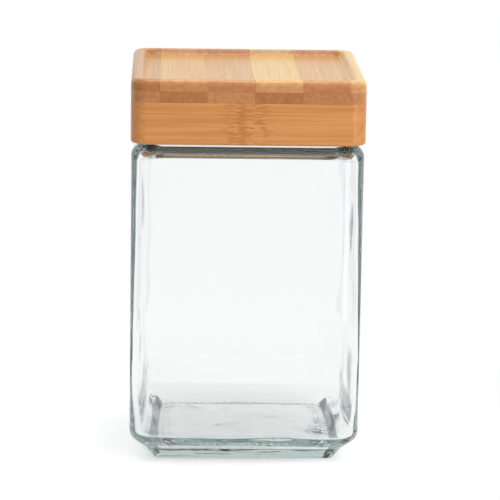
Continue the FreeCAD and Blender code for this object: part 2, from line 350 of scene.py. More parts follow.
# %% A culm node, and fibres that wander
RAGGED_EDGE = (9.0, 1.6)
NODE_EDGE, NODE_FULL, NODE_RAGGED = 13.5, 5.0, 7.0
RING_PLACE, RING_EDGE, RING_FULL = -2.0, 3.2, 0.4
SLOW_DRIFT, DRIFT = (60.0, 9.0), 0.8
QUICK_KINK, KINK = (3.2, 2.0), 0.9


def node_masks(tree, place, strength):
    """Mask of a culm node at X = 0 and mask of its dark ring."""
    along = add(tree, "ShaderNodeSeparateXYZ", {0: place}).outputs[0]
    ragged = swing(tree, place, RAGGED_EDGE, 2.0)
    shifted = maths(tree, "MULTIPLY_ADD", ragged, NODE_RAGGED, along)
    node = ramp(tree, maths(tree, "ABSOLUTE", shifted), NODE_EDGE, NODE_FULL)
    off_ring = maths(tree, "ABSOLUTE", maths(tree, "SUBTRACT", shifted, RING_PLACE))
    ring = ramp(tree, off_ring, RING_EDGE, RING_FULL)
    return maths(tree, "MULTIPLY", node, strength), maths(tree, "MULTIPLY", ring, strength)


def along_the_fibres(tree, place, node):
    """Place, shifted by the drift of the fibres and by their kink at a node."""
    drift = wander(tree, place, SLOW_DRIFT, DRIFT)
    kink = wander(tree, place, QUICK_KINK, KINK)
    kink = add(tree, "ShaderNodeVectorMath", {0: kink, "Scale": node}, operation="SCALE").outputs[0]
    return vectors(tree, "ADD", vectors(tree, "ADD", place, drift), kink)


# %% [markdown]
# The tone of a spot goes from pale to deep. Streaks, fine and broad grain and, on cut ends, a mottle each add
# their share to that depth. Cut ends soak up more finish than the sides of a strip, so they are tinted as
# well. The slopes of the recess, which lie in shade, are painted a little darker and greyer still: painted
# shade. One input says how squarely the surface cuts through the fibres: 0 along them, 1 across them and over
# 1 on the slopes of the recess, which marks them for the painted shade.

# %% Build the bamboo group
FLOAT, VECTOR, COLOR = "NodeSocketFloat", "NodeSocketVector", "NodeSocketColor"
LONG_BUNDLE, SHORT_BUNDLE = (80.0, 0.7), (5.5, 0.68)
LONG_EDGES, SHORT_EDGES = (0.6, 0.1), (0.55, 0.15)
FINE_GRAIN, BROAD_GRAIN, END_MOTTLE = (50.0, 1.1), (120.0, 4.5), (2.6, 2.6)
STREAK_MEAN, DASH_MEAN = 0.4, 0.03
STREAK_SHARE, FINE_SHARE, BROAD_SHARE, MOTTLE_SHARE = 0.2, 0.9, 0.5, 2.0
DASH_SHARE, RING_SHARE = 2.1, 0.6
MIDDLE_DEPTH = 0.42
QUIET_ENDS = 0.8
CUT_FROM, CUT_FULL = 0.25, 0.8
# painted shade of the recess slopes: where it starts and where it is full
RECESS_SHADE_FROM, RECESS_SHADE_FULL = 1.0, 1.3
CUT_TINT = (0.85, 0.645, 0.81, 1.0)
# tint of the painted shade on the recess slopes
RECESS_SHADE_TINT = (0.77, 0.92, 1.03, 1.0)
PALE_ROUGHNESS, DEEP_ROUGHNESS, CUT_ROUGHNESS = 0.24, 0.36, 0.16


def sum_of(tree, *parts):
    """Sum of values, each times its share."""
    total = 0.0
    for value, share in parts:
        total = maths(tree, "MULTIPLY_ADD", value, share, total)
    return total


def make_bamboo_group():
    """Group that turns a place in millimetres into the colour, roughness and height of bamboo."""
    tree, given, end = new_group(
        "bamboo grain", "ShaderNodeTree",
        [("Place", VECTOR, None), ("Pale", COLOR, None), ("Deep", COLOR, None), ("Contrast", FLOAT, 1.0),
         ("Node", FLOAT, 1.0), ("End Grain And Shade", FLOAT, 0.0), ("End Tint", FLOAT, 1.0)],
        [("Colour", COLOR), ("Roughness", FLOAT), ("Height", FLOAT)])
    node, ring = node_masks(tree, given["Place"], given["Node"])
    place = along_the_fibres(tree, given["Place"], node)
    # bundles: long ones, and the short broken ones of a node
    long_streak = ramp(tree, stretched(tree, CELLS, place, LONG_BUNDLE, "Distance"), *LONG_EDGES)
    short_streak = ramp(tree, stretched(tree, CELLS, place, SHORT_BUNDLE, "Distance"), *SHORT_EDGES)
    streak = add(tree, "ShaderNodeMix", {0: node, 2: long_streak, 3: short_streak}).outputs[0]
    # depth of tone
    cut = ramp(tree, given["End Grain And Shade"], CUT_FROM, CUT_FULL)
    cut = maths(tree, "MULTIPLY", cut, given["End Tint"])
    depth = sum_of(
        tree, (maths(tree, "SUBTRACT", streak, STREAK_MEAN), STREAK_SHARE),
        (swing(tree, place, FINE_GRAIN, 3.0), FINE_SHARE), (swing(tree, place, BROAD_GRAIN, 1.0), BROAD_SHARE),
        (swing(tree, place, END_MOTTLE, 3.0), maths(tree, "MULTIPLY", cut, MOTTLE_SHARE)))
    contrast = maths(tree, "MULTIPLY", given["Contrast"], ramp(tree, cut, 0.0, 1.0, 1.0, QUIET_ENDS))
    dashes = maths(tree, "MULTIPLY", node, maths(tree, "SUBTRACT", streak, DASH_MEAN))
    depth = sum_of(tree, (depth, contrast), (dashes, DASH_SHARE), (ring, RING_SHARE))
    depth = maths(tree, "ADD", depth, MIDDLE_DEPTH, clamp=True)
    # colour and roughness
    colour = mixed(tree, depth, given["Pale"], given["Deep"])
    colour = mixed(tree, cut, colour, CUT_TINT, "MULTIPLY")
    # painted shade: the recess slopes are made darker and greyer, where shade falls
    recess_shade = ramp(tree, given["End Grain And Shade"], RECESS_SHADE_FROM, RECESS_SHADE_FULL)
    colour = mixed(tree, recess_shade, colour, RECESS_SHADE_TINT, "MULTIPLY")
    roughness = ramp(tree, depth, 0.0, 1.0, PALE_ROUGHNESS, DEEP_ROUGHNESS)
    tree.links.new(colour, end.inputs["Colour"])
    roughness = maths(tree, "MULTIPLY_ADD", cut, CUT_ROUGHNESS, roughness)
    tree.links.new(roughness, end.inputs["Roughness"])
    tree.links.new(maths(tree, "SUBTRACT", 1.0, streak), end.inputs["Height"])
    return tree


bamboo_group = make_bamboo_group()
print("bamboo group has %d nodes" % len(bamboo_group.nodes))

# %% [markdown]
# ## One bamboo material for each strip
# Strips in one board come from different culms, so each has its own tone, and the glue lines show only
# because neighbours differ. A function makes a material from a tone, the way the fibres run and a seed. The
# Mapping node scales Object coordinates to millimetres and turns them until X runs along the fibres. The seed
# only shifts the pattern sideways, so that neighbouring strips never share their streaks. A strip without a
# node has its pattern shifted far along the fibres.

# %% Make a bamboo material
ALONG_X, ALONG_Y = 0.0, -math.pi / 2
NO_NODE = 400.0
SEED_STEP_Y, SEED_STEP_Z = 37.7, 64.09
# name of the attribute with the end grain share, raised on the recess slopes for their painted shade
END_GRAIN_AND_SHADE = "end grain and shade"
PALE_FACTORS = (1.13, 1.20, 1.28, 1.0)
DEEP_FACTORS = (0.82, 0.72, 0.61, 1.0)


def bamboo(name, tone, turn, seed, node_at=None, contrast=1.0, end_tint=1.0):
    """Bamboo with its fibres along X or Y and, if wanted, a node at a coordinate along them."""
    material, tree, end = new_material(name)
    shift = NO_NODE if node_at is None else -node_at
    place = add(tree, "ShaderNodeMapping", {
        "Vector": add(tree, "ShaderNodeTexCoord").outputs["Object"],
        "Location": (shift, SEED_STEP_Y * seed, SEED_STEP_Z * seed),
        "Rotation": (0, 0, turn), "Scale": (1 / MM,) * 3}).outputs[0]
    # end grain share, which also marks the recess slopes for painted shade
    cut = add(tree, "ShaderNodeAttribute", attribute_name=END_GRAIN_AND_SHADE).outputs["Fac"]
    middle = linear(*tone)
    grain = add(tree, "ShaderNodeGroup", node_tree=bamboo_group)
    values = {
        "Pale": [part * factor for part, factor in zip(middle, PALE_FACTORS)],
        "Deep": [part * factor for part, factor in zip(middle, DEEP_FACTORS)],
        "Contrast": contrast, "Node": 0.0 if node_at is None else 1.0, "End Tint": end_tint}
    for key, value in values.items():
        grain.inputs[key].default_value = value
    tree.links.new(place, grain.inputs["Place"])
    tree.links.new(cut, grain.inputs["End Grain And Shade"])
    bump = add(tree, "ShaderNodeBump", {
        "Height": grain.outputs["Height"], "Strength": 0.12, "Distance": 0.1 * MM})
    surface = add(tree, "ShaderNodeBsdfPrincipled", {
        "Base Color": grain.outputs["Colour"], "Roughness": grain.outputs["Roughness"],
        "Normal": bump.outputs[0], "IOR": 1.5})
    tree.links.new(surface.outputs[0], end.inputs["Surface"])
    return material


# %% [markdown]
# The group has to know where a piece is cut across its fibres, and where the slopes of the recess take their
# painted shade. A shader can't tell the slope of a recess from a rounded outer edge, but a mesh can: a slope
# that faces inwards, to the front or back, and upwards belongs to the recess. So each corner of each face
# stores its share, raised on those slopes, as an attribute.

# %% Add a bamboo piece and mark its end grain and its shaded slopes
# which slopes of the recess are marked for painted shade, and by how much
SHADED_SLOPE_TILT = 0.2
SLOPE_SHADE_SHARE = 1.8


def add_bamboo(node, bm, material, fibre):
    """Add a bamboo piece, and store on each corner of its faces how squarely it cuts through the fibres, raised
    on the recess slopes to paint shade there.
    """
    piece = add_piece("bamboo_" + node, as_mesh(bm, node), "lid", node, material)
    mesh = piece.data
    share = mesh.attributes.new(END_GRAIN_AND_SHADE, "FLOAT", "CORNER")
    for loop, normal, value in zip(mesh.loops, mesh.corner_normals, share.data):
        place = mesh.vertices[loop.vertex_index].co
        # a recess slope gets a raised share, for its painted shade
        shaded_slope = normal.vector.z > SHADED_SLOPE_TILT and place.y * normal.vector.y < 0
        value.value = abs(normal.vector[fibre]) * (SLOPE_SHADE_SHARE if shaded_slope else 1.0)


# %% [markdown]
# ## The lid's two plies
# The top of the lid is two layers of strips that run from front to back, with their joints in line. The upper
# layer carries a rounded outer edge and a shallow recess, in which the foot of a second jar can stand. Each
# layer is built whole, as the wood is when it is glued up, and then sawn into strips with flat cuts. That way
# the rounding and the recess run on from strip to strip exactly. Sawn edges are eased by a hair, so that they
# catch light, and the slivers that this can leave at a corner are dissolved.

# %% Saw a strip out of a blank
EASE = 0.09
SLIVER = 0.0002
ON_THE_CUT = 0.0001
SAWN_EDGE = math.radians(55)


def sawn(blank, cuts):
    """Copy of a blank without what lies beyond the cuts. A cut is a point and the way to the waste."""
    bm = blank.copy()
    for point, waste in cuts:
        parts = bm.verts[:] + bm.edges[:] + bm.faces[:]
        made = bmesh.ops.bisect_plane(
            bm, geom=parts, dist=ON_THE_CUT * MM, plane_co=Vector(point) * MM, plane_no=waste, clear_outer=True)
        rim = [part for part in made["geom_cut"] if isinstance(part, bmesh.types.BMEdge)]
        bmesh.ops.holes_fill(bm, edges=rim, sides=0)
    edges = [edge for edge in bm.edges if len(edge.link_faces) == 2 and edge.calc_face_angle() > SAWN_EDGE]
    bmesh.ops.bevel(bm, geom=edges, offset=EASE * MM, segments=1, affect="EDGES", clamp_overlap=True)
    bmesh.ops.dissolve_degenerate(bm, edges=bm.edges, dist=SLIVER * MM)
    return bm


# %% Cuts for a strip in a row
def between(axis, low, high):
    """The two cuts that keep what lies between two coordinates on an axis."""
    way = Vector([1.0 if i == axis else 0.0 for i in range(3)])
    return [(way * low, -way), (way * high, way)]


def strip_cuts(node, axis, number, count):
    """Cuts of one strip in a row. The first and the last strip keep the outer edge of the blank."""
    cuts = between(axis, *span(node, axis))
    return cuts[0 if number > 1 else 1:2 if number < count else 1]


# %% Blanks of the two plies
LID_CORNER = 7.5
TOP_ROUND = 3.0
RIM_WIDTH = 4.9
RIM_FLAT, RIM_EDGE = 0.2, 1.6
RECESS_DEPTH = 3.0
RECESS_CORNER = 5.0
RECESS_SLOPE = 2.6
RECESS_FILLET = 4.0
MIDDLE, MIDDLE_CORNER = 6.0, 1.0

recess_half = LID_HALF - RIM_WIDTH
recess_floor = LID_TOP - RECESS_DEPTH
rim_inset = TOP_ROUND + RIM_FLAT
upper_blank = loft(softened([
    (MIDDLE, PLY_LINE, MIDDLE_CORNER, 0),
    (LID_HALF, PLY_LINE, LID_CORNER, 0),
    (LID_HALF, LID_TOP, LID_CORNER, TOP_ROUND),
    (LID_HALF - rim_inset, LID_TOP, LID_CORNER - rim_inset, 0),
    (recess_half, LID_TOP, RECESS_CORNER + RECESS_SLOPE, RIM_EDGE),
    (recess_half - RECESS_SLOPE, recess_floor, RECESS_CORNER, RECESS_FILLET),
    (MIDDLE, recess_floor, MIDDLE_CORNER, 0)]))
lower_blank = loft([(LID_HALF, SKIRT_TOP, LID_CORNER), (LID_HALF, PLY_LINE, LID_CORNER)])
print("upper ply blank has %d faces" % len(upper_blank.faces))

# %% Tones of the strips, from left to right
STRAW = (222, 181, 105)
HONEY = (211, 162, 89)
ROSE = (205, 153, 85)
CHESTNUT = (192, 138, 69)

upper_tones = (CHESTNUT, HONEY, ROSE, STRAW, ROSE, STRAW)
lower_tones = (ROSE, CHESTNUT, HONEY, CHESTNUT, ROSE, ROSE)
print("%d tones for %d strips" % (len({*upper_tones, *lower_tones}), len(upper_tones + lower_tones)))

# %% Saw the plies into strips
UPPER_SEED, LOWER_SEED = 0, 10

plies = (("top", upper_blank, upper_tones, UPPER_SEED), ("lower", lower_blank, lower_tones, LOWER_SEED))
for layer, blank, tones, first_seed in plies:
    for number, tone in enumerate(tones, start=1):
        node = "%s_strip_%d" % (layer, number)
        cuts = strip_cuts(node, X, number, len(tones))
        strip = bamboo("bamboo " + node, tone, ALONG_Y, first_seed + number)
        add_bamboo(node, sawn(blank, cuts), strip, Y)
        print("%s: %.1f to %.1f mm" % (node, *span(node, X)))

# %% [markdown]
# ## The skirt
# Four rails make a frame under the plies. The front and back rails run the full width and show their long
# grain, with a culm node in the middle of the front one. The side rails fit between them. The frame is
# skinned as one closed row of rings and then sawn apart, so that the rounded corners match. Its grain has
# more contrast than that of the plies.

# %% Frame of rails
SKIRT_THICKNESS = 7.0
SKIRT_CORNER = 9.0
BOTTOM_ROUND, INNER_EDGE = 1.2, 0.5
SAW_GAP, CORNER_GAP = 0.02, 0.05

skirt_half = LID_HALF - SKIRT_THICKNESS
rail_cut = skirt_half + SAW_GAP
corner_start = skirt_half - SKIRT_CORNER + CORNER_GAP
frame_blank = loft(softened([
    (LID_HALF, LID_BOTTOM, LID_CORNER, BOTTOM_ROUND),
    (LID_HALF, SKIRT_TOP, LID_CORNER, 0),
    (skirt_half, SKIRT_TOP, SKIRT_CORNER, 0),
    (skirt_half, LID_BOTTOM, SKIRT_CORNER, INNER_EDGE)], closed=True), closed=True)
print("frame of rails has %d faces" % len(frame_blank.faces))

# %% Saw the frame into rails
RAIL = (212, 142, 76)
RAIL_CONTRAST, RAIL_END_TINT = 2.0, 0.2
RAIL_SEED = 21
FRONT_NODE, BACK_NODE, RIGHT_NODE = -1.0, 24.0, 15.0

side_cuts = between(Y, -rail_cut, rail_cut)
rails = {
    "skirt_front": ([((0, -rail_cut, 0), Vector((0, 1, 0)))], ALONG_X, FRONT_NODE),
    "skirt_back": ([((0, rail_cut, 0), Vector((0, -1, 0)))], ALONG_X, BACK_NODE),
    "skirt_left": (side_cuts + [((-corner_start, 0, 0), Vector((1, 0, 0)))], ALONG_Y, None),
    "skirt_right": (side_cuts + [((corner_start, 0, 0), Vector((-1, 0, 0)))], ALONG_Y, RIGHT_NODE),
}
for seed, (node, (cuts, turn, node_at)) in enumerate(rails.items(), start=RAIL_SEED):
    rail = bamboo("bamboo " + node, RAIL, turn, seed, node_at, RAIL_CONTRAST, RAIL_END_TINT)
    add_bamboo(node, sawn(frame_blank, cuts), rail, X if turn == ALONG_X else Y)
    print("made", node)

# %% [markdown]
# ## The boards inside the lid
# They show when the lid is lifted: a filling board between the rails, with its strips crosswise, and below it
# the plug that enters the mouth of the jar, with a lip that keeps the gasket on. They are glued up and sawn
# in the same way as the plies.

# %% Blanks of the core and the plug
PLUG_CORNER = 2.0
LIP, LIP_HEIGHT = 0.9, 2.6
LIP_ROUND, LIP_EDGE, GROOVE_EDGE = 0.8, 0.3, 0.2
GLUE_GAP = 0.05

lip_half = -span("plug_strip_1", X)[0]
plug_half = lip_half - LIP
lip_level = PLUG_LEVEL + LIP_HEIGHT
core_half = skirt_half - GLUE_GAP
core_blank = loft([(core_half, CORE_LEVEL, SKIRT_CORNER), (core_half, SKIRT_TOP, SKIRT_CORNER)])
plug_blank = loft(softened([
    (MIDDLE, PLUG_LEVEL, MIDDLE_CORNER, 0),
    (lip_half, PLUG_LEVEL, PLUG_CORNER, LIP_ROUND),
    (lip_half, lip_level, PLUG_CORNER, LIP_EDGE),
    (plug_half, lip_level, PLUG_CORNER, GROOVE_EDGE),
    (plug_half, CORE_LEVEL, PLUG_CORNER, 0),
    (MIDDLE, CORE_LEVEL, MIDDLE_CORNER, 0)]))
print("core is %.1f and plug %.1f mm wide" % (2 * core_half, 2 * lip_half))

# %% Saw the core and the plug into strips
CORE_SEED, PLUG_SEED = 31, 41
CORE_COUNT, PLUG_COUNT = 5, 4

board_tones = (HONEY, ROSE, STRAW, HONEY, ROSE)
boards = (("core", CORE_COUNT, core_blank, Y, ALONG_X, CORE_SEED),
          ("plug", PLUG_COUNT, plug_blank, X, ALONG_Y, PLUG_SEED))
for layer, count, blank, axis, turn, first_seed in boards:
    for number, tone in enumerate(board_tones[:count], start=1):
        node = "%s_strip_%d" % (layer, number)
        cuts = strip_cuts(node, axis, number, count)
        strip = bamboo("bamboo " + node, tone, turn, first_seed + number)
        add_bamboo(node, sawn(blank, cuts), strip, Y if axis == X else X)
    print("sawed %d strips of the %s" % (count, layer))

# %% [markdown]
# ## The gasket
# A clear silicone ring seals the jar. Its flange lies on the rim of the glass, its sleeve sits in the groove
# of the plug, and three soft fins press on the inside of the mouth. As a profile that is carried round a
# square path, it is one closed row of rings. Thin clear rubber mostly shows what is behind it, so a low Alpha
# does, and renders faster than a second body of glass.

# %% Silicone material
SILICONE_TONES = (228, 206, 178), (238, 218, 192)
SILICONE_ALPHA = 0.3


def silicone():
    """Clear rubber with a faint mottle."""
    material, tree, end = new_material("silicone")
    place = add(tree, "ShaderNodeTexCoord").outputs["Object"]
    mottle = add(tree, NOISE, {"Vector": place, "Scale": 900.0, "Detail": 3.0}).outputs[0]
    colour = mixed(tree, mottle, *(linear(*tone) for tone in SILICONE_TONES))
    bump = add(tree, "ShaderNodeBump", {"Height": mottle, "Strength": 0.05, "Distance": 0.05 * MM})
    surface = add(tree, "ShaderNodeBsdfPrincipled", {
        "Base Color": colour, "Roughness": ramp(tree, mottle, 0.2, 0.8, 0.2, 0.3), "Normal": bump.outputs[0],
        "IOR": 1.41, "Alpha": SILICONE_ALPHA})
    tree.links.new(surface.outputs[0], end.inputs["Surface"])
    return material


# %% Sizes of the mouth and the gasket
NECK_GAP, NECK_WALL = 1.0, 3.8
FIN_GAP, FIN_REACH = 0.25, 1.9
FIN_COUNT, FIN_PITCH, FIN_THICKNESS = 3, 2.1, 0.9
FLANGE_THICKNESS = 1.0
BORE_GAP = 0.05
BORE_CORNER, SLEEVE_CORNER, FIN_CORNER, FLANGE_CORNER = 2.0, 2.05, 3.95, 7.6
BORE_EDGE, SLEEVE_EDGE, FIN_EDGE = 0.1, 0.3, 0.4

neck_half = skirt_half - NECK_GAP
mouth_half = neck_half - NECK_WALL
fin_half = mouth_half - FIN_GAP
sleeve_half = fin_half - FIN_REACH
bore_half = plug_half + BORE_GAP
flange_half = span("gasket", X)[1]
flange_level = CORE_LEVEL - FLANGE_THICKNESS
sleeve_level = span("gasket", Z)[0]
print("mouth is %.2f wide, fins %.2f mm" % (2 * mouth_half, 2 * fin_half))

# %% Gasket with its fins
profile = [(bore_half, sleeve_level, BORE_CORNER, BORE_EDGE)]
for fin in range(FIN_COUNT):
    fin_bottom = sleeve_level + FIN_PITCH * fin
    fin_top = fin_bottom + FIN_THICKNESS
    if fin:
        profile.append((sleeve_half, fin_bottom, SLEEVE_CORNER, SLEEVE_EDGE))
    profile += [(fin_half, fin_bottom, FIN_CORNER, FIN_EDGE), (fin_half, fin_top, FIN_CORNER, FIN_EDGE),
                (sleeve_half, fin_top, SLEEVE_CORNER, SLEEVE_EDGE)]
profile += [(sleeve_half, flange_level, SLEEVE_CORNER, SLEEVE_EDGE),
            (flange_half, flange_level, FLANGE_CORNER, FIN_EDGE),
            (flange_half, CORE_LEVEL, FLANGE_CORNER, SLEEVE_EDGE),
            (bore_half, CORE_LEVEL, BORE_CORNER, BORE_EDGE)]
gasket_mesh = as_mesh(loft(softened(profile, closed=True), closed=True), "gasket")
add_piece("silicone_gasket", gasket_mesh, "lid", "gasket", silicone())
print("gasket has %d faces" % len(gasket_mesh.polygons))

# %% [markdown]
# ## The glass jar
# The jar is one closed skin: up the outside, over the rim and down the inside to the floor. Glass shows both
# of its surfaces at once, so the inside is modelled as carefully as the outside. Pressed glass is thick at
# the base, the heel and the shoulder and thinner in the middle of the walls, and that decides how wide the
# dark bands along the edges of the jar look. Where the wall gets thinner, the bend has a very large radius,
# so no line shows.

# %% Outside of the jar, from under the base up to the neck
JAR_CORNER = 11.0
FOOT_HALF, FOOT_CORNER, FOOT_EDGE = 42.15, 2.2, 0.6
RING_WIDTH = 5.6
PUSH_UP, KNURL_DEPTH = 1.15, 0.42
STEP_IN, STEP_OUT, STEP_ROUND = 3.0, 1.0, 20.0
SEAM_HALF, SEAM_LEVEL, SEAM_CORNER, SEAM_EDGE = 46.4, 6.0, 4.5, 1.2
HEEL_LEVEL, HEEL_ROUND = 11.8, 6.0
SHOULDER, SHOULDER_ROUND, SHOULDER_INSET = 151.9, 6.2, 6.4
NECK_CORNER, NECK_FILLET, RIM_ROUND = 8.0, 0.7, 1.4

ring_half = FOOT_HALF - RING_WIDTH
outside = [
    (MIDDLE, PUSH_UP, MIDDLE_CORNER, 0),
    (ring_half - STEP_IN, PUSH_UP, FOOT_CORNER, STEP_ROUND),
    (ring_half + STEP_OUT, KNURL_DEPTH, FOOT_CORNER, STEP_ROUND),
    (FOOT_HALF, KNURL_DEPTH, FOOT_CORNER, FOOT_EDGE),
    (SEAM_HALF, SEAM_LEVEL, SEAM_CORNER, SEAM_EDGE),
    (JAR_HALF, HEEL_LEVEL, JAR_CORNER, HEEL_ROUND),
    (JAR_HALF, SHOULDER, JAR_CORNER, SHOULDER_ROUND),
    (JAR_HALF - SHOULDER_INSET, SHOULDER, JAR_CORNER - SHOULDER_INSET, 0),
    (neck_half, SHOULDER, NECK_CORNER, NECK_FILLET),
    (neck_half, RIM_LEVEL, NECK_CORNER, RIM_ROUND)]
print("the foot is %.1f and the body %.1f mm wide" % (2 * FOOT_HALF, 2 * JAR_HALF))

# %% Inside of the jar, from the rim down to the floor
WALL, THIN_WALL = 4.5, 3.0
THICK_LEVEL, THIN_TOP, THIN_BOTTOM = 120.0, 60.0, 26.0
LONG_BEND, SHORT_BEND = 900.0, 60.0
MOUTH_BEND, CAVITY_BEND = 3.1, 3.5
INNER_HEEL_LEVEL, INNER_HEEL_ROUND = 13.3, 2.8
INNER_FLOOR_HALF, INNER_FLOOR_CORNER = 40.2, 4.0
BASE_THICKNESS = 7.1

cavity_half, cavity_corner = JAR_HALF - WALL, JAR_CORNER - WALL
thin_half, thin_corner = JAR_HALF - THIN_WALL, JAR_CORNER - THIN_WALL
mouth_corner = NECK_CORNER - NECK_WALL
inside = [
    (mouth_half, RIM_LEVEL, mouth_corner, RIM_ROUND),
    (mouth_half, SHOULDER - WALL, mouth_corner, MOUTH_BEND),
    (cavity_half, SHOULDER - WALL, cavity_corner, CAVITY_BEND),
    (cavity_half, THICK_LEVEL, cavity_corner, LONG_BEND),
    (thin_half, THIN_TOP, thin_corner, LONG_BEND),
    (thin_half, THIN_BOTTOM, thin_corner, SHORT_BEND),
    (cavity_half, INNER_HEEL_LEVEL, cavity_corner, INNER_HEEL_ROUND),
    (INNER_FLOOR_HALF, BASE_THICKNESS, INNER_FLOOR_CORNER, INNER_HEEL_ROUND),
    (MIDDLE, BASE_THICKNESS, MIDDLE_CORNER, 0)]
print("the wall is %.1f mm thick at the shoulder and %.1f below the middle" % (WALL, THIN_WALL))

# %% Skin of the jar
LONGEST_SPAN = 5.0

jar_path = softened(outside + inside, longest=LONGEST_SPAN)
jar_mesh = as_mesh(loft(jar_path), "glass_jar")
print("jar skin has %d rings and %d faces" % (len(jar_path), len(jar_mesh.polygons)))

# %% [markdown]
# ## Ripple and knurl
# Two features of pressed glass follow a rule, so Geometry Nodes make them. The inside of the walls is never
# quite flat: a noise pushes its points in and out along their normals, by an amount that is stored on the
# mesh. It is largest in the corners and at the heel, and small on the outside, which took its shape from the
# mould. The ring that the jar stands on is knurled: short round bars are placed along a square path, turned
# across it and merged with the glass, so that the mould's ring of bars shows through the base.

# %% Store how much each point may ripple
WALL_RIPPLE, CORNER_RIPPLE, HEEL_RIPPLE, OUTSIDE_RIPPLE = 0.7, 6.0, 4.6, 0.4
CORNER_ZONE = 30.0
HEEL_ZONE_TOP, HEEL_ZONE_FULL = 26.0, 14.0
TOP_ZONE_END, TOP_ZONE_FULL = SHOULDER - 6.0, SHOULDER - 18.0
OUTSIDE_START, OUTSIDE_FULL = 7.0, 17.0


def share(value, start, full):
    """0 up to the start, 1 from full on, and straight in between."""
    return max(0.0, min(1.0, (value - start) / (full - start)))


ripple = jar_mesh.attributes.new("ripple", "FLOAT", "POINT")
points_per_ring = len(jar_mesh.vertices) // len(jar_path)
rim_ring = max(range(len(jar_path)), key=lambda ring: jar_path[ring].y)
for vertex, value in zip(jar_mesh.vertices, ripple.data):
    x, y, level = (abs(part) / MM for part in vertex.co)
    amount = OUTSIDE_RIPPLE
    fade = min(share(level, OUTSIDE_START, OUTSIDE_FULL), share(level, TOP_ZONE_END, TOP_ZONE_FULL))
    if vertex.index // points_per_ring > rim_ring:
        amount = WALL_RIPPLE + (CORNER_RIPPLE - WALL_RIPPLE) * share(min(x, y), CORNER_ZONE, cavity_half)
        amount += (HEEL_RIPPLE - amount) * share(level, HEEL_ZONE_TOP, HEEL_ZONE_FULL)
        fade = share(level, TOP_ZONE_END, TOP_ZONE_FULL)
    value.value = amount * fade
print("the largest amount of ripple is %.1f" % max(value.value for value in ripple.data))

# %% Branch of the tree that ripples the jar
UPWARD_STRETCH = (1.0, 1.0, 0.4)


def rippled_jar(tree, given):
    """Jar whose points are pushed along their normals by a noise that is longer upwards."""
    place = add(tree, "GeometryNodeInputPosition").outputs[0]
    wave = add(tree, NOISE, {
        "Vector": vectors(tree, "MULTIPLY", place, UPWARD_STRETCH), "W": given["Seed"], "Detail": 2.0,
        "Scale": maths(tree, "DIVIDE", 1.0, given["Ripple Length"])}, noise_dimensions="4D").outputs[0]
    wave = maths(tree, "MULTIPLY", maths(tree, "SUBTRACT", wave, 0.5), given["Ripple Height"])
    amount = add(tree, "GeometryNodeInputNamedAttribute", {"Name": "ripple"}, data_type="FLOAT").outputs[0]
    wave = maths(tree, "MULTIPLY", wave, amount)
    normal = add(tree, "GeometryNodeInputNormal").outputs[0]
    offset = add(tree, "ShaderNodeVectorMath", {0: normal, "Scale": wave}, operation="SCALE").outputs[0]
    return add(tree, "GeometryNodeSetPosition", {"Geometry": given["Geometry"], "Offset": offset}).outputs[0]


# %% Branch of the tree that makes the knurl
BAR_SIDES = 12


def knurl_bars(tree, given):
    """Bars along a square path, turned across it, and left out at its corners."""
    width = maths(tree, "MULTIPLY", given["Ring Half Width"], 2.0)
    path = add(tree, "GeometryNodeCurvePrimitiveQuadrilateral", {"Width": width, "Height": width}).outputs[0]
    points = add(tree, "GeometryNodeCurveToPoints", {
        "Curve": path, "Length": given["Bar Pitch"]}, mode="LENGTH").outputs
    place = add(tree, "GeometryNodeInputPosition").outputs[0]
    sides = add(tree, "ShaderNodeSeparateXYZ", {0: vectors(tree, "ABSOLUTE", place)}).outputs
    beyond = maths(tree, "GREATER_THAN", maths(tree, "MINIMUM", sides[0], sides[1]), given["Bar Reach"])
    kept = add(tree, "GeometryNodeDeleteGeometry", {"Geometry": points["Points"], "Selection": beyond})
    bar = add(tree, "GeometryNodeMeshCylinder", {
        "Vertices": BAR_SIDES, "Radius": given["Bar Radius"], "Depth": given["Bar Length"]}).outputs[0]
    across = vectors(tree, "CROSS_PRODUCT", points["Tangent"], (0.0, 0.0, 1.0))
    turned = add(tree, "FunctionNodeAlignRotationToVector", {"Vector": across}, axis="Z").outputs[0]
    bars = add(tree, "GeometryNodeInstanceOnPoints", {
        "Points": kept.outputs[0], "Instance": bar, "Rotation": turned}).outputs[0]
    # the bars touch the ground and are partly sunk in the glass
    lift = add(tree, "ShaderNodeCombineXYZ", {"Z": given["Bar Radius"]}).outputs[0]
    bars = add(tree, "GeometryNodeTranslateInstances", {
        "Instances": bars, "Translation": lift, "Local Space": False}).outputs[0]
    return add(tree, "GeometryNodeRealizeInstances", {0: bars}).outputs[0]


# %% Tree for pressed glass
def make_pressed_glass():
    """Geometry Nodes tree that ripples a jar and adds knurl bars under it."""
    material_socket, geometry = "NodeSocketMaterial", "NodeSocketGeometry"
    tree, given, end = new_group(
        "pressed glass", "GeometryNodeTree",
        [("Geometry", geometry, None), ("Ripple Height", FLOAT, 0.0), ("Ripple Length", FLOAT, 0.03),
         ("Seed", FLOAT, 0.0), ("Ring Half Width", FLOAT, 0.04), ("Bar Pitch", FLOAT, 0.0015),
         ("Bar Length", FLOAT, 0.004), ("Bar Radius", FLOAT, 0.0004), ("Bar Reach", FLOAT, 0.036),
         ("Glass", material_socket, None)],
        [("Geometry", geometry)])
    joined = add(tree, "GeometryNodeMeshBoolean", operation="UNION", solver="EXACT")
    tree.links.new(knurl_bars(tree, given), joined.inputs["Mesh 2"])
    tree.links.new(rippled_jar(tree, given), joined.inputs["Mesh 2"])
    glass = add(tree, "GeometryNodeRealizeInstances", {0: joined.outputs[0]}).outputs[0]
    glass = add(tree, "GeometryNodeSetMaterial", {"Geometry": glass, "Material": given["Glass"]}).outputs[0]
    tree.links.new(glass, end.inputs[0])
    return tree


pressed_glass = make_pressed_glass()
print("pressed glass tree has %d nodes" % len(pressed_glass.nodes))

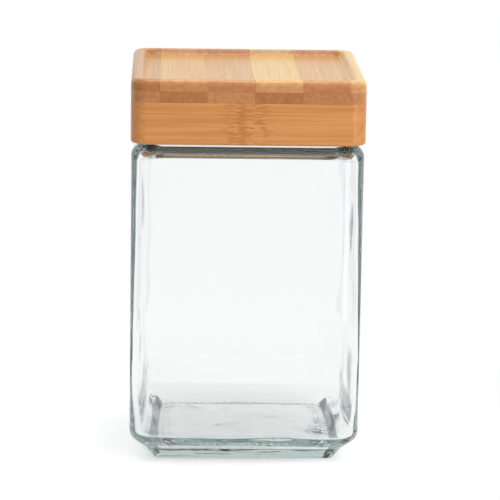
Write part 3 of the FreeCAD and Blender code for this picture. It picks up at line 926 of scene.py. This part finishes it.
# %% [markdown]
# ## Clear glass
# The glass is a Principled surface that transmits everything, filled with a faint green absorption: a wall
# stays clear, and light that runs along inside a wall to an edge comes out darker. Cycles would give such a
# jar a solid shadow, so shadow rays meet a nearly clear surface instead.

# %% Glass material
GLASS_SHADOW = (0.92, 0.94, 0.935, 1.0)
GLASS_GREEN = (0.575, 0.69, 0.685, 1.0)
GREEN_DENSITY = 20.0


def clear_glass():
    """Clear soda-lime glass with a very slight unevenness."""
    material, tree, end = new_material("clear glass")
    place = add(tree, "ShaderNodeTexCoord").outputs["Object"]
    swell = add(tree, NOISE, {"Vector": place, "Scale": 90.0, "Detail": 1.0}).outputs[0]
    bump = add(tree, "ShaderNodeBump", {"Height": swell, "Strength": 0.06, "Distance": 0.2 * MM})
    surface = add(tree, "ShaderNodeBsdfPrincipled", {
        "Base Color": (1.0, 1.0, 1.0, 1.0), "Roughness": 0.0, "IOR": 1.5, "Transmission Weight": 1.0,
        "Normal": bump.outputs[0]})
    clear = add(tree, "ShaderNodeBsdfTransparent", {"Color": GLASS_SHADOW})
    shadow = add(tree, "ShaderNodeLightPath").outputs["Is Shadow Ray"]
    both = add(tree, "ShaderNodeMixShader", {0: shadow, 1: surface.outputs[0], 2: clear.outputs[0]})
    green = add(tree, "ShaderNodeVolumeAbsorption", {"Color": GLASS_GREEN, "Density": GREEN_DENSITY})
    tree.links.new(both.outputs[0], end.inputs["Surface"])
    tree.links.new(green.outputs[0], end.inputs["Volume"])
    return material


# %% Ripple and knurl the jar
def made_by(tree, mesh, values):
    """Mesh that a Geometry Nodes tree makes of a mesh, with the tree's inputs given by name."""
    holder = in_scene("holder", mesh)
    modifier = holder.modifiers.new("tree", "NODES")
    modifier.node_group = tree
    for item in tree.interface.items_tree:
        if item.name in values and item.in_out == "INPUT":
            modifier[item.identifier] = values[item.name]
    shown = holder.evaluated_get(bpy.context.evaluated_depsgraph_get())
    made = bpy.data.meshes.new_from_object(shown)
    bpy.data.objects.remove(holder)
    return made


glass = clear_glass()
jar_made = made_by(pressed_glass, jar_mesh, {
    "Ripple Height": 0.5 * MM, "Ripple Length": 16 * MM, "Seed": 3.0,
    "Ring Half Width": (FOOT_HALF - RING_WIDTH / 2) * MM, "Bar Pitch": 3.6 * MM, "Bar Length": 3.8 * MM,
    "Bar Radius": 0.9 * MM, "Bar Reach": 36.2 * MM, "Glass": glass})
add_piece("glass_jar_body", jar_made, "jar", "glass_jar", glass)
lowest = min(vertex.co.z for vertex in jar_made.vertices) / MM
print("jar has %d faces, from %.2f mm up" % (len(jar_made.polygons), lowest))

# %% [markdown]
# ## Studio
# The jar stands on white, in soft light. The floor is a pale disc of paper that takes a soft shadow and fades
# to white further out. Paper under a real jar also gets the light that the glass gathers, which would take
# very many samples to trace. A slight glow of the paper stands in for it, with one amount for the camera,
# which leaves the shadow at the foot, and one for rays that were bent or mirrored by the glass.

# %% Floor material
PAPER_DARK, PAPER_PALE = (0.80, 0.80, 0.80, 1.0), (0.82, 0.82, 0.82, 1.0)
WHITE = (1.0, 1.0, 1.0, 1.0)
CAMERA_GLOW = (34 * MM, 52 * MM, 0.03, 0.38)
GLASS_GLOW = (44 * MM, 66 * MM, 0.24, 0.2)
FADE_START, FADE_END = 0.07, 0.16


def floor_paper():
    """Pale paper that glows a little, by its distance from the middle, and fades to white."""
    material, tree, end = new_material("floor")
    path = add(tree, "ShaderNodeLightPath").outputs
    bent = maths(tree, "MAXIMUM", path["Is Glossy Ray"], path["Is Transmission Ray"])
    seen = maths(tree, "MAXIMUM", path["Is Camera Ray"], bent)
    bent = maths(tree, "SUBTRACT", seen, path["Is Camera Ray"])
    place = add(tree, "ShaderNodeTexCoord").outputs["Object"]
    shade = add(tree, NOISE, {"Vector": place, "Scale": 30.0}).outputs[0]
    matt = add(tree, "ShaderNodeBsdfDiffuse", {"Color": mixed(tree, shade, PAPER_DARK, PAPER_PALE)})
    sides = add(tree, "ShaderNodeSeparateXYZ", {0: vectors(tree, "ABSOLUTE", place)}).outputs
    from_middle = maths(tree, "MAXIMUM", sides[0], sides[1])
    strength = sum_of(tree, (path["Is Camera Ray"], ramp(tree, from_middle, *CAMERA_GLOW)),
                      (bent, ramp(tree, from_middle, *GLASS_GLOW)))
    glow = add(tree, "ShaderNodeEmission", {"Color": WHITE, "Strength": strength})
    lit = add(tree, "ShaderNodeAddShader", {0: matt.outputs[0], 1: glow.outputs[0]})
    white = add(tree, "ShaderNodeEmission", {"Color": WHITE, "Strength": 1.0})
    far = add(tree, "ShaderNodeVectorMath", {0: place}, operation="LENGTH").outputs["Value"]
    faded = maths(tree, "MULTIPLY", ramp(tree, far, FADE_START, FADE_END), seen)
    both = add(tree, "ShaderNodeMixShader", {0: faded, 1: lit.outputs[0], 2: white.outputs[0]})
    tree.links.new(both.outputs[0], end.inputs["Surface"])
    return material


# %% Floor
FLOOR_RADIUS, FLOOR_SIDES = 0.3, 96
FLOOR_DROP = 0.2 * MM

floor_bm = bmesh.new()
bmesh.ops.create_circle(floor_bm, cap_ends=True, segments=FLOOR_SIDES, radius=FLOOR_RADIUS)
floor = in_scene("floor", as_mesh(floor_bm, "floor"))
floor.location.z = -FLOOR_DROP
floor.data.materials.append(floor_paper())
print("floor is %.1f m across" % (2 * FLOOR_RADIUS))

# %% [markdown]
# The world is white to the camera. Clear glass on white is almost invisible, so photographers stand darker
# cards round it, in between the directions that one looks from. The world holds such cards for bent and
# mirrored rays only, and above them it is white again. As a source of light it is weaker, and even all round.

# %% World
AMBIENT = 0.42
CARD_COUNT, CARD = 8, 0.88
CARD_EDGE, CARD_FULL = 0.3, -0.8
CARD_TOP, CARD_ABOVE = 0.45, 0.75

world = bpy.data.worlds.new("studio")
bpy.context.scene.world = world
world.use_nodes = True
tree = world.node_tree
tree.nodes.clear()
end = tree.nodes.new("ShaderNodeOutputWorld")
path = add(tree, "ShaderNodeLightPath").outputs
way = add(tree, "ShaderNodeSeparateXYZ", {0: add(tree, "ShaderNodeTexCoord").outputs["Generated"]}).outputs
azimuth = maths(tree, "ARCTAN2", way[1], way[0])
wave = maths(tree, "COSINE", maths(tree, "MULTIPLY", azimuth, CARD_COUNT))
cards = ramp(tree, wave, CARD_EDGE, CARD_FULL, 1.0, CARD)
cards = maths(tree, "MAXIMUM", cards, ramp(tree, way[2], CARD_TOP, CARD_ABOVE))
bent = maths(tree, "MAXIMUM", path["Is Glossy Ray"], path["Is Transmission Ray"])
strength = add(tree, "ShaderNodeMix", {0: bent, 2: AMBIENT, 3: cards}).outputs[0]
strength = maths(tree, "MAXIMUM", strength, path["Is Camera Ray"])
back = add(tree, "ShaderNodeBackground", {"Color": WHITE, "Strength": strength})
tree.links.new(back.outputs[0], end.inputs["Surface"])
print("world has %d cards" % CARD_COUNT)

# %% [markdown]
# Four soft lamps light the object: a strong one at the front right, a weak one at the front left, one above
# and a low one that draws a line of light down the right edge of the lid. Smooth glass would show each lamp
# as a white square with hard edges, so rays that passed through glass don't see the lamps. The two large
# lamps are also kept out of mirror reflections, which would bleach the wood when one looks from behind.

# %% Lamps
LAMP_AIM = Vector((0.0, 0.0, 0.1))


def lamp(name, place, size, power, mirrored):
    """Square soft light that faces the middle of the object, and may show in mirror reflections."""
    data = bpy.data.lights.new(name, "AREA")
    data.size = size
    data.energy = power
    holder = in_scene(name, data)
    holder.location = place
    holder.rotation_euler = (LAMP_AIM - Vector(place)).to_track_quat("-Z", "Y").to_euler()
    holder.visible_glossy = mirrored
    holder.visible_transmission = False
    print("%s lamp: %.1f W" % (name, power))


lamp("key", (1.2, -1.05, 0.95), size=1.0, power=18.0, mirrored=False)
lamp("fill", (-1.3, -0.9, 0.9), size=1.2, power=3.0, mirrored=False)
lamp("top", (0.1, 0.1, 1.6), size=0.7, power=9.4, mirrored=True)
lamp("right", (0.85, -1.15, 0.0), size=0.5, power=1.2, mirrored=True)

# %% [markdown]
# ## Camera
# The photograph was taken with a long lens from a little above. The camera's place and angles were found by
# matching the outline of the object, and are written here as numbers.

# %% Camera
CAMERA_PLACE = (-38.2007 * MM, -1319.0546 * MM, 371.9296 * MM)
YAW, PITCH, ROLL = (math.radians(angle) for angle in (1.7907, 11.9667, 0.8869))
SENSOR = 36.0
FOCAL_PIXELS, IMAGE_PIXELS = 2797.52, 500

ahead = Vector((math.sin(YAW) * math.cos(PITCH), math.cos(YAW) * math.cos(PITCH), -math.sin(PITCH)))
level_right = Vector((math.cos(YAW), -math.sin(YAW), 0))
level_up = level_right.cross(ahead)
right = math.cos(ROLL) * level_right + math.sin(ROLL) * level_up
up = math.cos(ROLL) * level_up - math.sin(ROLL) * level_right
camera_data = bpy.data.cameras.new("camera")
camera_data.sensor_width = SENSOR
camera_data.lens = FOCAL_PIXELS * SENSOR / IMAGE_PIXELS
camera = in_scene("camera", camera_data)
camera.matrix_world = Matrix.Translation(CAMERA_PLACE) @ Matrix((right, up, -ahead)).transposed().to_4x4()
bpy.context.scene.camera = camera
print("camera lens %.1f mm" % camera_data.lens)

# %% [markdown]
# Light that is seen through the jar passes many surfaces and may run along inside a wall, so rays are
# followed for more bounces than usual. The plain view transform keeps white paper white.

# %% Bounces and view
BOUNCES = 24

scene = bpy.context.scene
scene.view_settings.view_transform = "Standard"
for kind in ("max_bounces", "glossy_bounces", "transmission_bounces"):
    setattr(scene.cycles, kind, BOUNCES)
print("rays are followed for %d bounces" % BOUNCES)
